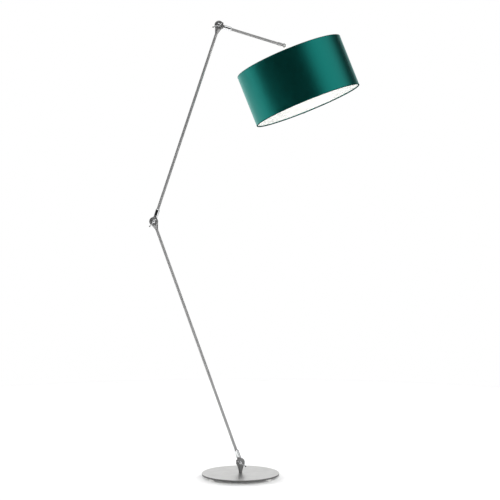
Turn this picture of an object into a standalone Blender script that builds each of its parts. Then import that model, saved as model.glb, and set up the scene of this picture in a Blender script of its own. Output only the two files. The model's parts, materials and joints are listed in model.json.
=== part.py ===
"""Adjustable arm floor lamp: round base, three arms, three knuckle joints with clamp screws, drum shade.

Frame: metres, +Z up, +X to the right of the front view, front towards -Y.
Origin: on the floor, under the middle of the base plate.
"""
import math

import bpy
from mathutils import Matrix, Vector

MM = 0.001
GAP = 0.3 * MM                     # air left between pieces that touch

# Facets around a turned shape
FINE, MEDIUM, COARSE, SMALL = 56, 24, 16, 12

# Arms, as lengths from joint centre to joint centre and as angles in the X-Z plane, from +X
BASE_JOINT_HEIGHT = 51.2 * MM
LOWER_ARM_LENGTH = 928 * MM
LOWER_ARM_ANGLE = math.radians(109.8)
MIDDLE_ARM_LENGTH = 749 * MM
MIDDLE_ARM_ANGLE = math.radians(71.6)
TOP_ARM_LENGTH = 246.5 * MM
TOP_ARM_ANGLE = math.radians(-17.1)
TUBE_RADIUS = 5 * MM
TUBE_WALL = 1 * MM
SOCKET_RADIUS = TUBE_RADIUS + GAP
LEAD_RADIUS = 2.5 * MM
LEAD_SET_BACK = 2 * MM

# Base
PLATE_RADIUS = 140 * MM
PLATE_TOP = 13 * MM
PLATE_BOTTOM = 7 * MM
PLATE_CHAMFER = 1.2 * MM
FOOT_RADIUS = 10 * MM
FOOT_CIRCLE = 129 * MM
FOOT_ANGLES = [math.radians(a) for a in (39, 141, 219, 321)]
GLAND_RADIUS = 17 * MM
GLAND_INSIDE = 12 * MM
GLAND_BOTTOM = 0.8 * MM
GLAND_FLOOR = 1.0 * MM
LEAD_SLOT = 3.5 * MM               # half its width
WASHER_RADIUS = 9 * MM
WASHER_THICKNESS = 1 * MM
NUT_ACROSS_FLATS = 14 * MM
NUT_THICKNESS = 2.7 * MM

# Knuckle joint: two half eyes side by side on an axis along Y
EYE_RADIUS = 16 * MM
EYE_FACE = 10.8 * MM               # outer face, from the parting plane
EYE_RECESS = 10.0 * MM             # sunk middle of the outer face
HALF_PARTING = 0.8 * MM
HOLLOW_OUTER = 12 * MM             # ring-shaped way for the lead round the screw
HOLLOW_INNER = 5 * MM
HOLLOW_DEPTH = 5.5 * MM
SCREW_HOLE = 3.2 * MM
NECK_RADIUS = 8 * MM
NECK_START = 16.6 * MM
NECK_END_RADIUS = 6.3 * MM
NECK_CHAMFER = 2.6 * MM
CONE_RADIUS = 10.4 * MM            # the lower half tapers from its disc to its tube
CONE_END = 27.6 * MM
LOWER_NECK_END = 29.6 * MM
BASE_CONE_END = 32.5 * MM
WEB_START = 9.5 * MM
WEB_HALF_WIDTH = 13.1 * MM
WEB_FACE = 9.6 * MM
TUBE_STOP = 20 * MM
STUB_END = 20.3 * MM
COLLAR_END = 47 * MM
SPIGOT_END = 27 * MM
WIRE_BORE = 3.5 * MM
SCREW_RADIUS = SCREW_HOLE - GAP
BOSS_RADIUS = 5.8 * MM
BOSS_TOP = 17.2 * MM
SCREW_END = 14 * MM
BAR_HEIGHT = 13.9 * MM
BAR_RADIUS = 1.5 * MM
BAR_HALF_LENGTH = 16 * MM
BAR_SLIDE = -3.6 * MM              # each cross bar hangs to one side in its loose hole
BALL_RADIUS = 2.6 * MM
CAP_NUT_RADIUS = 6.5 * MM
CAP_NUT_HEIGHT = 6.4 * MM
BAR_ANGLES = {"base": 147, "elbow": 53, "top": 22}

# Small hinge between the top arm and the lamp holder
HINGE_RADIUS = 9 * MM              # of the half on the lamp holder
HINGE_ARM_RADIUS = 6.8 * MM        # of the half on the arm
HINGE_FACE = 6.3 * MM
HINGE_NECK_RADIUS = 6.5 * MM
HINGE_ARM_NECK_RADIUS = 6.2 * MM
HINGE_NECK_START = 9.7 * MM
HINGE_NECK_END = 23.7 * MM
HINGE_TUBE_STOP = 14 * MM
HINGE_SPIGOT_END = 33.5 * MM
HINGE_SPIGOT_BORE = 2.5 * MM
HINGE_SCREW_HOLE = 2.3 * MM
HINGE_SCREW_END = 8.2 * MM
HINGE_HEAD_RADIUS = 4 * MM
HINGE_NUT_RADIUS = 4.5 * MM
HINGE_NUT_HEIGHT = 3.4 * MM

# Shade, in its own frame: origin at its centre, +Z along its axis, away from the open bottom
SHADE_TILT = math.radians(21.7)
SHADE_RADIUS = 200 * MM
SHADE_HALF_HEIGHT = 96 * MM
HINGE_ABOVE_SHADE = 44.5 * MM
FABRIC_THICKNESS = 1.2 * MM
LINING_THICKNESS = 0.5 * MM
LINING_HALF_HEIGHT = 92 * MM
WIRE_RADIUS = 1.6 * MM
RING_HEIGHT = 94 * MM
SPIDER_HEIGHT = 74 * MM
SPIDER_ANGLES = [math.radians(a) for a in (90, 210, 330)]
FITTER_RADIUS = 24.3 * MM
HOLDER_RADIUS = 20 * MM
HOLDER_WALL = 2.5 * MM
HOLDER_CAP_TOP = SHADE_HALF_HEIGHT + HINGE_ABOVE_SHADE - HINGE_NECK_END - GAP
HOLDER_CAP_BOTTOM = 100 * MM
HOLDER_BOTTOM = 56 * MM
BULB_CAP_RADIUS = 13 * MM
BULB_CAP_TOP = 84 * MM
BULB_CAP_BOTTOM = 58 * MM
BULB_RADIUS = 30 * MM
BULB_CENTRE = -22 * MM
GLASS_WALL = 1 * MM


# ---------------------------------------------------------------- scene and tools

for old in list(bpy.data.objects):
    bpy.data.objects.remove(old, do_unlink=True)

LAMP = bpy.data.collections.new("floor_lamp")
TOOLS = bpy.data.collections.new("cutters")
bpy.context.scene.collection.children.link(LAMP)
bpy.context.scene.collection.children.link(TOOLS)


def material(name, colour, roughness, metallic):
    made = bpy.data.materials.new(name)
    made.use_nodes = True
    shader = made.node_tree.nodes["Principled BSDF"]
    shader.inputs["Base Color"].default_value = (*colour, 1)
    shader.inputs["Roughness"].default_value = roughness
    shader.inputs["Metallic"].default_value = metallic
    return made


FINISHES = {
    "satin_steel": ((0.62, 0.62, 0.61), 0.35, 1.0),
    "chrome": ((0.80, 0.80, 0.81), 0.06, 1.0),
    "zinc": ((0.55, 0.56, 0.57), 0.4, 1.0),
    "clear_rubber": ((0.80, 0.80, 0.78), 0.4, 0.0),
    "black_plastic": ((0.02, 0.02, 0.02), 0.4, 0.0),
    "white_plastic": ((0.80, 0.80, 0.78), 0.4, 0.0),
    "white_sheath": ((0.70, 0.70, 0.68), 0.5, 0.0),
    "white_enamel": ((0.82, 0.82, 0.80), 0.3, 0.0),
    "green_fabric": ((0.0, 0.10, 0.08), 0.5, 0.0),
    "white_lining": ((0.90, 0.90, 0.88), 0.7, 0.0),
    "frosted_glass": ((0.92, 0.92, 0.90), 0.3, 0.0),
}


def new_object(name, mesh, place, collection):
    made = bpy.data.objects.new(name, mesh)
    made.matrix_world = place
    collection.objects.link(made)
    return made


def as_tool(made):
    made.hide_render = True
    made.display_type = "WIRE"
    return made


def turned(name, outline, place, steps=COARSE, collection=LAMP):
    """A solid of revolution about the object's Z axis, from (radius, height) points.

    An outline that starts and ends on the axis is open; any other is closed into a ring.
    It runs outwards over the top, down the outer side and back along the bottom.
    """
    mesh = bpy.data.meshes.new(name)
    last = len(outline) - 1
    edges = [(i, i + 1) for i in range(last)]
    if outline[0][0] > 0 or outline[last][0] > 0:
        edges.append((last, 0))
    mesh.from_pydata([(r, 0, z) for r, z in outline], edges, [])
    made = new_object(name, mesh, place, collection)
    screw = made.modifiers.new("Turn", "SCREW")
    screw.axis = "Z"
    screw.angle = 2 * math.pi
    screw.steps = steps
    screw.render_steps = steps
    screw.use_merge_vertices = True
    screw.merge_threshold = 0.00001
    return made


def box(name, low, high, place):
    """A block cut or joined by a Boolean, between two corners in its own frame."""
    low, high = Vector(low), Vector(high)
    bpy.ops.mesh.primitive_cube_add(size=1)
    made = bpy.context.object
    made.name = name
    for old in list(made.users_collection):
        old.objects.unlink(made)
    TOOLS.objects.link(made)
    size = Matrix.Diagonal((*(high - low), 1))
    made.data.transform(Matrix.Translation((low + high) / 2) @ size)
    made.matrix_world = place
    return as_tool(made)


def rod_tool(name, radius, low, high, place, steps=SMALL):
    """A plain round bar along Z, cut or joined by a Boolean."""
    outline = [(0, high), (radius, high), (radius, low), (0, low)]
    return as_tool(turned(name, outline, place, steps, TOOLS))


def combine(made, operation, tool):
    change = made.modifiers.new(operation.title(), "BOOLEAN")
    change.operation = operation
    change.solver = "EXACT"
    change.object = tool


def finish(made, finish_name):
    """Applies the modifiers, gives smooth shading with sharp edges, and sets the material."""
    bpy.context.view_layer.update()
    graph = bpy.context.evaluated_depsgraph_get()
    mesh = bpy.data.meshes.new_from_object(made.evaluated_get(graph))
    made.modifiers.clear()
    made.data = mesh
    mesh.shade_smooth()
    mesh.set_sharp_from_angle(angle=math.radians(35))
    mesh.materials.clear()
    mesh.materials.append(MATERIALS[finish_name])
    return made


MATERIALS = {name: material(name, *look) for name, look in FINISHES.items()}


def axes(origin, x_axis, z_axis):
    """The placement whose X and Z axes point along the given directions."""
    y_axis = z_axis.cross(x_axis)
    turn = Matrix((x_axis, y_axis, z_axis)).transposed().to_4x4()
    return Matrix.Translation(origin) @ turn


def in_plane(angle):
    return Vector((math.cos(angle), 0, math.sin(angle)))


def along(place):
    """The same origin, with Z turned onto the placement's X axis."""
    return place @ Matrix.Rotation(math.pi / 2, 4, "Y")


FRONT = Vector((0, -1, 0))
BACK = Vector((0, 1, 0))
UP = Vector((0, 0, 1))
BASE_JOINT = Vector((0, 0, BASE_JOINT_HEIGHT))
ELBOW = BASE_JOINT + LOWER_ARM_LENGTH * in_plane(LOWER_ARM_ANGLE)
TOP_JOINT = ELBOW + MIDDLE_ARM_LENGTH * in_plane(MIDDLE_ARM_ANGLE)
SHADE_HINGE = TOP_JOINT + TOP_ARM_LENGTH * in_plane(TOP_ARM_ANGLE)
SHADE_AXIS = in_plane(math.pi / 2 + SHADE_TILT)
SHADE_CENTRE = SHADE_HINGE - (SHADE_HALF_HEIGHT + HINGE_ABOVE_SHADE) * SHADE_AXIS
SHADE = axes(SHADE_CENTRE, in_plane(SHADE_TILT), SHADE_AXIS)
FLOOR = Matrix.Identity(4)


# ---------------------------------------------------------------- base

def hexagon(name, across_flats, low, high, hole, place):
    """A hexagonal nut with a round hole."""
    made = turned(name, [(0, high), (across_flats / math.sqrt(3), high),
                         (across_flats / math.sqrt(3), low), (0, low)], place, 6)
    combine(made, "DIFFERENCE", rod_tool(name + "_hole", hole, low - MM, high + MM, place, SMALL))
    return made


def base_plate():
    edge = PLATE_RADIUS
    low_chamfer = 0.4 * MM
    outline = [
        (SOCKET_RADIUS, PLATE_TOP),
        (edge - PLATE_CHAMFER, PLATE_TOP),
        (edge, PLATE_TOP - PLATE_CHAMFER),
        (edge, PLATE_BOTTOM + low_chamfer),
        (edge - low_chamfer, PLATE_BOTTOM),
        (SOCKET_RADIUS, PLATE_BOTTOM),
    ]
    finish(turned("base_plate", outline, FLOOR, FINE), "satin_steel")


def base_feet():
    top = PLATE_BOTTOM - GAP
    outline = [(0, top), (FOOT_RADIUS, top), (FOOT_RADIUS, 3 * MM), (FOOT_RADIUS - MM, MM),
               (FOOT_RADIUS - 2 * MM, 0), (0, 0)]
    for number, angle in enumerate(FOOT_ANGLES, 1):
        spot = Vector((FOOT_CIRCLE * math.cos(angle), FOOT_CIRCLE * math.sin(angle), 0))
        foot = turned(f"base_foot_{number}", outline, Matrix.Translation(spot))
        finish(foot, "clear_rubber")


def base_fixing():
    stud_top = BASE_JOINT_HEIGHT - TUBE_STOP - GAP
    stud_end = GLAND_BOTTOM + GLAND_FLOOR + GAP
    stud = turned("base_stud", [(WIRE_BORE, stud_top), (TUBE_RADIUS, stud_top),
                                (TUBE_RADIUS, stud_end), (WIRE_BORE, stud_end)], FLOOR)
    finish(stud, "zinc")
    top = PLATE_BOTTOM - GAP
    bottom = top - WASHER_THICKNESS
    washer = turned("base_washer", [(SOCKET_RADIUS, top), (WASHER_RADIUS, top),
                                    (WASHER_RADIUS, bottom), (SOCKET_RADIUS, bottom)], FLOOR)
    finish(washer, "zinc")
    nut_top = bottom - GAP
    nut = hexagon("base_nut", NUT_ACROSS_FLATS, nut_top - NUT_THICKNESS, nut_top,
                  SOCKET_RADIUS, FLOOR)
    finish(nut, "zinc")


def cord_gland():
    """A flat strain relief cup under the plate, with the lead's way out towards the back."""
    top = PLATE_BOTTOM - GAP
    floor = GLAND_BOTTOM + GLAND_FLOOR
    outline = [(0, floor), (GLAND_INSIDE, floor), (GLAND_INSIDE, top), (GLAND_RADIUS, top),
               (GLAND_RADIUS, GLAND_BOTTOM + MM), (GLAND_RADIUS - MM, GLAND_BOTTOM),
               (0, GLAND_BOTTOM)]
    gland = turned("cord_gland", outline, FLOOR, MEDIUM)
    slot = box("cord_gland_slot", (-LEAD_SLOT, GLAND_INSIDE - 2 * MM, floor + 0.5 * MM),
               (LEAD_SLOT, GLAND_RADIUS + 2 * MM, top + MM), FLOOR)
    combine(gland, "DIFFERENCE", slot)
    finish(gland, "black_plastic")


# ---------------------------------------------------------------- knuckle joints

def disc(name, place):
    """One side of a knuckle before it is hollowed: a disc with a raised rim."""
    rim = 1.0 * MM
    outline = [
        (SCREW_HOLE, EYE_RECESS),
        (HOLLOW_OUTER - 0.2 * MM, EYE_RECESS),
        (HOLLOW_OUTER + 0.6 * MM, EYE_FACE),
        (EYE_RADIUS - rim, EYE_FACE),
        (EYE_RADIUS, EYE_FACE - rim),
        (EYE_RADIUS, HALF_PARTING),
        (SCREW_HOLE, HALF_PARTING),
    ]
    return turned(name, outline, place, MEDIUM)


def hollow(eye, place, bore_end):
    """Cuts the lead's way: a ring in the parting face, open to the bore of the neck."""
    outline = [(HOLLOW_INNER, HOLLOW_DEPTH), (HOLLOW_OUTER, HOLLOW_DEPTH),
               (HOLLOW_OUTER, -MM), (HOLLOW_INNER, -MM)]
    ring = as_tool(turned(eye.name + "_hollow", outline, place, MEDIUM, TOOLS))
    combine(eye, "DIFFERENCE", ring)
    bore = rod_tool(eye.name + "_bore", WIRE_BORE, 8 * MM, bore_end, along(place))
    combine(eye, "DIFFERENCE", bore)


def web(name, place):
    """The plate between the lower disc and its neck, narrowing from one to the other."""
    made = box(name, (WEB_START, -WEB_HALF_WIDTH, HALF_PARTING + 0.1 * MM),
               (NECK_START + 0.6 * MM, WEB_HALF_WIDTH, WEB_FACE), place)
    for corner in made.data.vertices:
        if corner.co.x > NECK_START:
            corner.co.y *= (CONE_RADIUS - 0.6 * MM) / WEB_HALF_WIDTH
    return made


def lower_eye(name, place, cone_end, neck_end):
    """The front half, with a tapering neck that takes the tube or stud below it."""
    eye = disc(name, place)
    outline = [
        (NECK_END_RADIUS, neck_end),
        (NECK_END_RADIUS, cone_end),
        (CONE_RADIUS, NECK_START),
        (WIRE_BORE, NECK_START),
        (WIRE_BORE, TUBE_STOP),
        (SOCKET_RADIUS, TUBE_STOP),
        (SOCKET_RADIUS, neck_end),
    ]
    combine(eye, "UNION", web(name + "_web", place))
    combine(eye, "UNION", as_tool(turned(name + "_neck", outline, along(place), COARSE, TOOLS)))
    hollow(eye, place, TUBE_STOP - MM)
    return finish(eye, "chrome")


def upper_eye(name, place):
    """The rear half, with a short stub and a spigot that the collar and tube slide over."""
    eye = disc(name, place)
    outline = [
        (WIRE_BORE, SPIGOT_END),
        (TUBE_RADIUS, SPIGOT_END),
        (TUBE_RADIUS, STUB_END),
        (NECK_RADIUS, STUB_END),
        (NECK_RADIUS, NECK_START),
        (WIRE_BORE, NECK_START),
    ]
    bridge = box(name + "_bridge", (HOLLOW_OUTER + MM, -7.6 * MM, HALF_PARTING + 0.1 * MM),
                 (NECK_START + 0.6 * MM, 7.6 * MM, 7.4 * MM), place)
    combine(eye, "UNION", bridge)
    combine(eye, "UNION", as_tool(turned(name + "_neck", outline, along(place), COARSE, TOOLS)))
    hollow(eye, place, STUB_END)
    return finish(eye, "chrome")


def collar(name, place):
    outline = [
        (SOCKET_RADIUS, COLLAR_END),
        (NECK_END_RADIUS, COLLAR_END),
        (NECK_RADIUS, COLLAR_END - NECK_CHAMFER),
        (NECK_RADIUS, STUB_END + GAP),
        (SOCKET_RADIUS, STUB_END + GAP),
    ]
    finish(turned(name, outline, along(place)), "chrome")


def friction_washer(name, inner, outer, place):
    half = HALF_PARTING - GAP
    ring = turned(name, [(inner, half), (outer, half), (outer, -half), (inner, -half)], place)
    finish(ring, "white_plastic")


def clamp_screw(joint, centre, bar_angle):
    """The screw with its cross bar and two end balls, in front of the knuckle."""
    place = axes(centre, in_plane(bar_angle), FRONT)
    under = EYE_RECESS + GAP
    outline = [
        (0, BOSS_TOP),
        (2.6 * MM, BOSS_TOP - 0.3 * MM),
        (4.6 * MM, BOSS_TOP - 1.2 * MM),
        (BOSS_RADIUS, BOSS_TOP - 2.8 * MM),
        (BOSS_RADIUS, under),
        (SCREW_RADIUS, under),
        (SCREW_RADIUS, -SCREW_END),
        (0, -SCREW_END),
    ]
    screw = turned(f"{joint}_clamp_screw", outline, place)
    hole_place = along(place @ Matrix.Translation((0, 0, BAR_HEIGHT)))
    combine(screw, "DIFFERENCE",
            rod_tool(f"{joint}_bar_hole", BAR_RADIUS + GAP, -8 * MM, 8 * MM, hole_place, 8))
    bar_place = hole_place @ Matrix.Translation((0, 0, BAR_SLIDE))
    finish(screw, "chrome")
    bar = turned(f"{joint}_tommy_bar",
                 [(0, BAR_HALF_LENGTH), (BAR_RADIUS, BAR_HALF_LENGTH),
                  (BAR_RADIUS, -BAR_HALF_LENGTH), (0, -BAR_HALF_LENGTH)], bar_place, 8)
    finish(bar, "chrome")
    tommy_balls(joint, bar_place)


def tommy_balls(joint, bar_place):
    """The two balls that stop the cross bar from sliding out."""
    reach = BAR_HALF_LENGTH + GAP + BALL_RADIUS
    arc = [math.radians(a) for a in range(60, -61, -30)]
    round_side = [(BALL_RADIUS * math.cos(a), BALL_RADIUS * math.sin(a)) for a in arc]
    outline = [(0, BALL_RADIUS), *round_side, (0, -BALL_RADIUS)]
    for number, side in enumerate((1, -1), 1):
        place = bar_place @ Matrix.Translation((0, 0, side * reach))
        finish(turned(f"{joint}_tommy_ball_{number}", outline, place, 8), "black_plastic")


def cap_nut(name, hole, radius, face, height, place):
    """A round domed nut on the back of a hinge, with a blind thread hole."""
    top = face + height
    outline = [(0, top), (0.45 * radius, top - 0.04 * height), (0.8 * radius, top - 0.2 * height),
               (radius, top - 0.5 * height), (radius, face), (hole, face),
               (hole, face + 0.7 * height), (0, face + 0.7 * height)]
    finish(turned(name, outline, place), "chrome")


def knuckle(joint, centre, lower_direction, upper_direction, cone_end=CONE_END,
            neck_end=LOWER_NECK_END):
    front = axes(centre, lower_direction, FRONT)
    rear = axes(centre, upper_direction, BACK)
    lower_eye(f"{joint}_lower_eye", front, cone_end, neck_end)
    upper_eye(f"{joint}_upper_eye", rear)
    collar(f"{joint}_collar", rear)
    friction_washer(f"{joint}_friction_washer", HOLLOW_OUTER + GAP, EYE_RADIUS - GAP, rear)
    clamp_screw(joint, centre, math.radians(BAR_ANGLES[joint]))
    cap_nut(f"{joint}_cap_nut", SCREW_HOLE, CAP_NUT_RADIUS, EYE_RECESS + GAP, CAP_NUT_HEIGHT, rear)


def arm_tube(name, start, end, start_gap, end_gap):
    """A tube between two joints, with the lead inside it."""
    direction = (end - start).normalized()
    place = axes(start, Vector((0, 1, 0)), direction)
    low = start_gap
    high = (end - start).length - end_gap
    inner = TUBE_RADIUS - TUBE_WALL
    tube = turned(f"{name}_tube", [(inner, high), (TUBE_RADIUS, high), (TUBE_RADIUS, low),
                                   (inner, low)], place, COARSE)
    finish(tube, "satin_steel")
    high -= LEAD_SET_BACK
    low += LEAD_SET_BACK
    lead = turned(f"{name}_lead", [(0, high), (LEAD_RADIUS, high), (LEAD_RADIUS, low), (0, low)],
                  place, 8)
    finish(lead, "white_sheath")


# ---------------------------------------------------------------- shade hinge

def hinge_half(name, radius, place, neck_outline, finish_name):
    """A small half eye with a neck."""
    rim = 0.8 * MM
    outline = [
        (HINGE_SCREW_HOLE, HINGE_FACE),
        (radius - rim, HINGE_FACE),
        (radius, HINGE_FACE - rim),
        (radius, HALF_PARTING),
        (HINGE_SCREW_HOLE, HALF_PARTING),
    ]
    eye = turned(name, outline, place)
    combine(eye, "UNION", box(name + "_bridge", (4.5 * MM, -4.8 * MM, HALF_PARTING + 0.1 * MM),
                              (HINGE_NECK_START + 0.6 * MM, 4.8 * MM, 5.3 * MM), place))
    neck = as_tool(turned(name + "_neck", neck_outline, along(place), COARSE, TOOLS))
    combine(eye, "UNION", neck)
    finish(eye, finish_name)


def shade_hinge():
    arm_side = axes(SHADE_HINGE, -in_plane(TOP_ARM_ANGLE), FRONT)
    holder_side = axes(SHADE_HINGE, -SHADE_AXIS, BACK)
    tube_socket = [
        (0, HINGE_TUBE_STOP),
        (SOCKET_RADIUS, HINGE_TUBE_STOP),
        (SOCKET_RADIUS, HINGE_NECK_END),
        (HINGE_ARM_NECK_RADIUS - 0.4 * MM, HINGE_NECK_END),
        (HINGE_ARM_NECK_RADIUS, HINGE_NECK_END - 0.8 * MM),
        (HINGE_ARM_NECK_RADIUS, HINGE_NECK_START),
        (0, HINGE_NECK_START),
    ]
    holder_spigot = [
        (HINGE_SPIGOT_BORE, HINGE_SPIGOT_END),
        (TUBE_RADIUS, HINGE_SPIGOT_END),
        (TUBE_RADIUS, HINGE_NECK_END),
        (HINGE_NECK_RADIUS, HINGE_NECK_END),
        (HINGE_NECK_RADIUS, HINGE_NECK_START),
        (HINGE_SPIGOT_BORE, HINGE_NECK_START),
    ]
    hinge_half("shade_hinge_arm_half", HINGE_ARM_RADIUS, arm_side, tube_socket, "satin_steel")
    hinge_half("shade_hinge_holder_half", HINGE_RADIUS, holder_side, holder_spigot,
               "white_enamel")
    head = HINGE_FACE + GAP
    shaft = HINGE_SCREW_HOLE - GAP
    outline = [(0, head + 2.2 * MM), (0.6 * HINGE_HEAD_RADIUS, head + 2 * MM),
               (HINGE_HEAD_RADIUS, head + 0.9 * MM), (HINGE_HEAD_RADIUS, head), (shaft, head),
               (shaft, -HINGE_SCREW_END), (0, -HINGE_SCREW_END)]
    screw = turned("shade_hinge_screw", outline, arm_side, COARSE)
    combine(screw, "DIFFERENCE", box("shade_hinge_slot", (-5 * MM, -0.5 * MM, head + 1.1 * MM),
                                     (5 * MM, 0.5 * MM, head + 4 * MM), arm_side))
    finish(screw, "chrome")
    cap_nut("shade_hinge_nut", HINGE_SCREW_HOLE, HINGE_NUT_RADIUS, HINGE_FACE + GAP,
            HINGE_NUT_HEIGHT, holder_side)


# ---------------------------------------------------------------- lamp holder, bulb and shade

def lamp_holder():
    inner = HOLDER_RADIUS - HOLDER_WALL
    top, bottom = HOLDER_CAP_TOP, HOLDER_CAP_BOTTOM
    cap = turned("holder_cap", [
        (SOCKET_RADIUS, top), (9 * MM, top), (14 * MM, top - 2.5 * MM),
        (18.5 * MM, top - 8 * MM), (HOLDER_RADIUS, bottom), (inner, bottom),
        (15.5 * MM, top - 8.5 * MM), (10 * MM, top - 5 * MM), (SOCKET_RADIUS, top - 4 * MM),
    ], SHADE, MEDIUM)
    finish(cap, "white_enamel")
    flange = SPIDER_HEIGHT + 1 * MM + GAP
    body_top = bottom - GAP
    body = turned("holder_body", [
        (inner, body_top), (HOLDER_RADIUS, body_top), (HOLDER_RADIUS, flange + 2.5 * MM),
        (22.5 * MM, flange + 2.5 * MM), (22.5 * MM, flange), (HOLDER_RADIUS, flange),
        (HOLDER_RADIUS, HOLDER_BOTTOM), (inner, HOLDER_BOTTOM),
    ], SHADE, MEDIUM)
    finish(body, "white_enamel")
    nut_top = SPIDER_HEIGHT - 1 * MM - GAP
    nut = turned("holder_ring_nut", [
        (HOLDER_RADIUS + GAP, nut_top), (24 * MM, nut_top), (24 * MM, nut_top - 2 * MM),
        (22.8 * MM, nut_top - 3 * MM), (22.8 * MM, nut_top - 9 * MM),
        (HOLDER_RADIUS + GAP, nut_top - 9 * MM),
    ], SHADE, MEDIUM)
    finish(nut, "white_enamel")
    insert = turned("holder_insert", [
        (0, 98 * MM), (inner - GAP, 98 * MM), (inner - GAP, 88 * MM), (6 * MM, 88 * MM),
        (5 * MM, BULB_CAP_TOP + 3 * MM), (0, BULB_CAP_TOP + 3 * MM),
    ], SHADE, COARSE)
    finish(insert, "white_plastic")


def bulb():
    cap_inner = BULB_CAP_RADIUS - MM
    cap = turned("bulb_cap", [
        (0, BULB_CAP_TOP + 2 * MM), (4.5 * MM, BULB_CAP_TOP + 2 * MM), (6 * MM, BULB_CAP_TOP),
        (10 * MM, BULB_CAP_TOP - 2.5 * MM), (BULB_CAP_RADIUS, BULB_CAP_TOP - 4 * MM),
        (BULB_CAP_RADIUS, BULB_CAP_BOTTOM), (cap_inner, BULB_CAP_BOTTOM),
        (cap_inner, BULB_CAP_TOP - 5 * MM), (0, BULB_CAP_TOP - 3 * MM),
    ], SHADE, COARSE)
    finish(cap, "zinc")
    top = BULB_CAP_BOTTOM - GAP
    neck = BULB_CAP_RADIUS - 0.5 * MM
    rise = [math.radians(a) for a in (50, 25, 0, -25, -50, -70)]
    glass_outer = [(neck, top), (14.5 * MM, 40 * MM), (19.5 * MM, 14 * MM)]
    glass_outer += [(BULB_RADIUS * math.cos(a), BULB_CENTRE + BULB_RADIUS * math.sin(a))
                    for a in rise]
    glass_outer.append((0, BULB_CENTRE - BULB_RADIUS))
    glass_inner = [(r - GLASS_WALL, z) for r, z in glass_outer[:-1]]
    glass_inner.append((0, BULB_CENTRE - BULB_RADIUS + GLASS_WALL))
    glass = turned("bulb_glass", glass_inner[::-1] + glass_outer, SHADE, COARSE)
    finish(glass, "frosted_glass")


def band(name, outer, thickness, half_height, finish_name):
    """An open cylinder on the shade's axis."""
    inner = outer - thickness
    finish(turned(name, [(inner, half_height), (outer, half_height), (outer, -half_height),
                         (inner, -half_height)], SHADE, FINE), finish_name)


def wire_ring(name, radius, height):
    arc = [math.radians(a) for a in range(90, -270, -90)]
    outline = [(radius + WIRE_RADIUS * math.cos(a), height + WIRE_RADIUS * math.sin(a))
               for a in arc]
    finish(turned(name, outline, SHADE, FINE), "white_enamel")


def spider_arm(name, angle, ring_radius):
    """A wire that runs out level from the fitter ring and bends up to the top ring."""
    start = FITTER_RADIUS + GAP
    end = ring_radius - WIRE_RADIUS - GAP
    rise = RING_HEIGHT - SPIDER_HEIGHT
    path = [(start, SPIDER_HEIGHT)]
    bend = [0.0, 0.2, 0.4, 0.6, 0.8, 1.0]
    path += [(end - 40 * MM * (1 - t), SPIDER_HEIGHT + rise * (3 * t * t - 2 * t ** 3))
             for t in bend]
    curve = bpy.data.curves.new(name, "CURVE")
    curve.dimensions = "3D"
    curve.bevel_depth = WIRE_RADIUS
    curve.bevel_resolution = 1
    curve.use_fill_caps = True
    line = curve.splines.new("POLY")
    line.points.add(len(path) - 1)
    for point, (out, height) in zip(line.points, path):
        point.co = (out, 0, height, 1)
    place = SHADE @ Matrix.Rotation(angle, 4, "Z")
    guide = new_object(name + "_guide", curve, place, TOOLS)
    bpy.context.view_layer.update()
    graph = bpy.context.evaluated_depsgraph_get()
    mesh = bpy.data.meshes.new_from_object(guide.evaluated_get(graph))
    bpy.data.objects.remove(guide, do_unlink=True)
    arm = new_object(name, mesh, place, LAMP)
    weld = arm.modifiers.new("Weld", "WELD")
    weld.merge_threshold = 0.00001
    finish(arm, "white_enamel")


def shade():
    ring_radius = SHADE_RADIUS - FABRIC_THICKNESS - GAP - WIRE_RADIUS
    band("shade_fabric", SHADE_RADIUS, FABRIC_THICKNESS, SHADE_HALF_HEIGHT, "green_fabric")
    band("shade_lining", SHADE_RADIUS - FABRIC_THICKNESS - GAP, LINING_THICKNESS,
         LINING_HALF_HEIGHT, "white_lining")
    wire_ring("shade_top_ring", ring_radius, RING_HEIGHT)
    wire_ring("shade_bottom_ring", ring_radius, -RING_HEIGHT)
    half = 1 * MM
    fitter = turned("fitter_ring", [
        (HOLDER_RADIUS + GAP, SPIDER_HEIGHT + half), (FITTER_RADIUS, SPIDER_HEIGHT + half),
        (FITTER_RADIUS, SPIDER_HEIGHT - half), (HOLDER_RADIUS + GAP, SPIDER_HEIGHT - half),
    ], SHADE, MEDIUM)
    finish(fitter, "white_enamel")
    for number, angle in enumerate(SPIDER_ANGLES, 1):
        spider_arm(f"spider_arm_{number}", angle, ring_radius)


# ---------------------------------------------------------------- build

base_plate()
base_feet()
base_fixing()
cord_gland()
plate_neck_end = BASE_JOINT_HEIGHT - PLATE_TOP - GAP
lower_way, middle_way, top_way = map(in_plane, (LOWER_ARM_ANGLE, MIDDLE_ARM_ANGLE, TOP_ARM_ANGLE))
knuckle("base", BASE_JOINT, -UP, lower_way, BASE_CONE_END, plate_neck_end)
knuckle("elbow", ELBOW, -lower_way, middle_way)
knuckle("top", TOP_JOINT, -middle_way, top_way)
collar_stop, socket_stop = SPIGOT_END + GAP, TUBE_STOP + GAP
arm_tube("lower_arm", BASE_JOINT, ELBOW, collar_stop, socket_stop)
arm_tube("middle_arm", ELBOW, TOP_JOINT, collar_stop, socket_stop)
arm_tube("top_arm", TOP_JOINT, SHADE_HINGE, collar_stop, HINGE_TUBE_STOP + GAP)
shade_hinge()
lamp_holder()
bulb()
shade()
for tool in list(TOOLS.objects):
    bpy.data.objects.remove(tool, do_unlink=True)
bpy.data.collections.remove(TOOLS)
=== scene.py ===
"""Looks of the adjustable arm floor lamp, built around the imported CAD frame.

Sizes are in millimetres and become metres where a mesh is made; places are in metres.
"""
import json
import math

import bmesh
import bpy
from mathutils import Matrix, Vector


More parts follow.
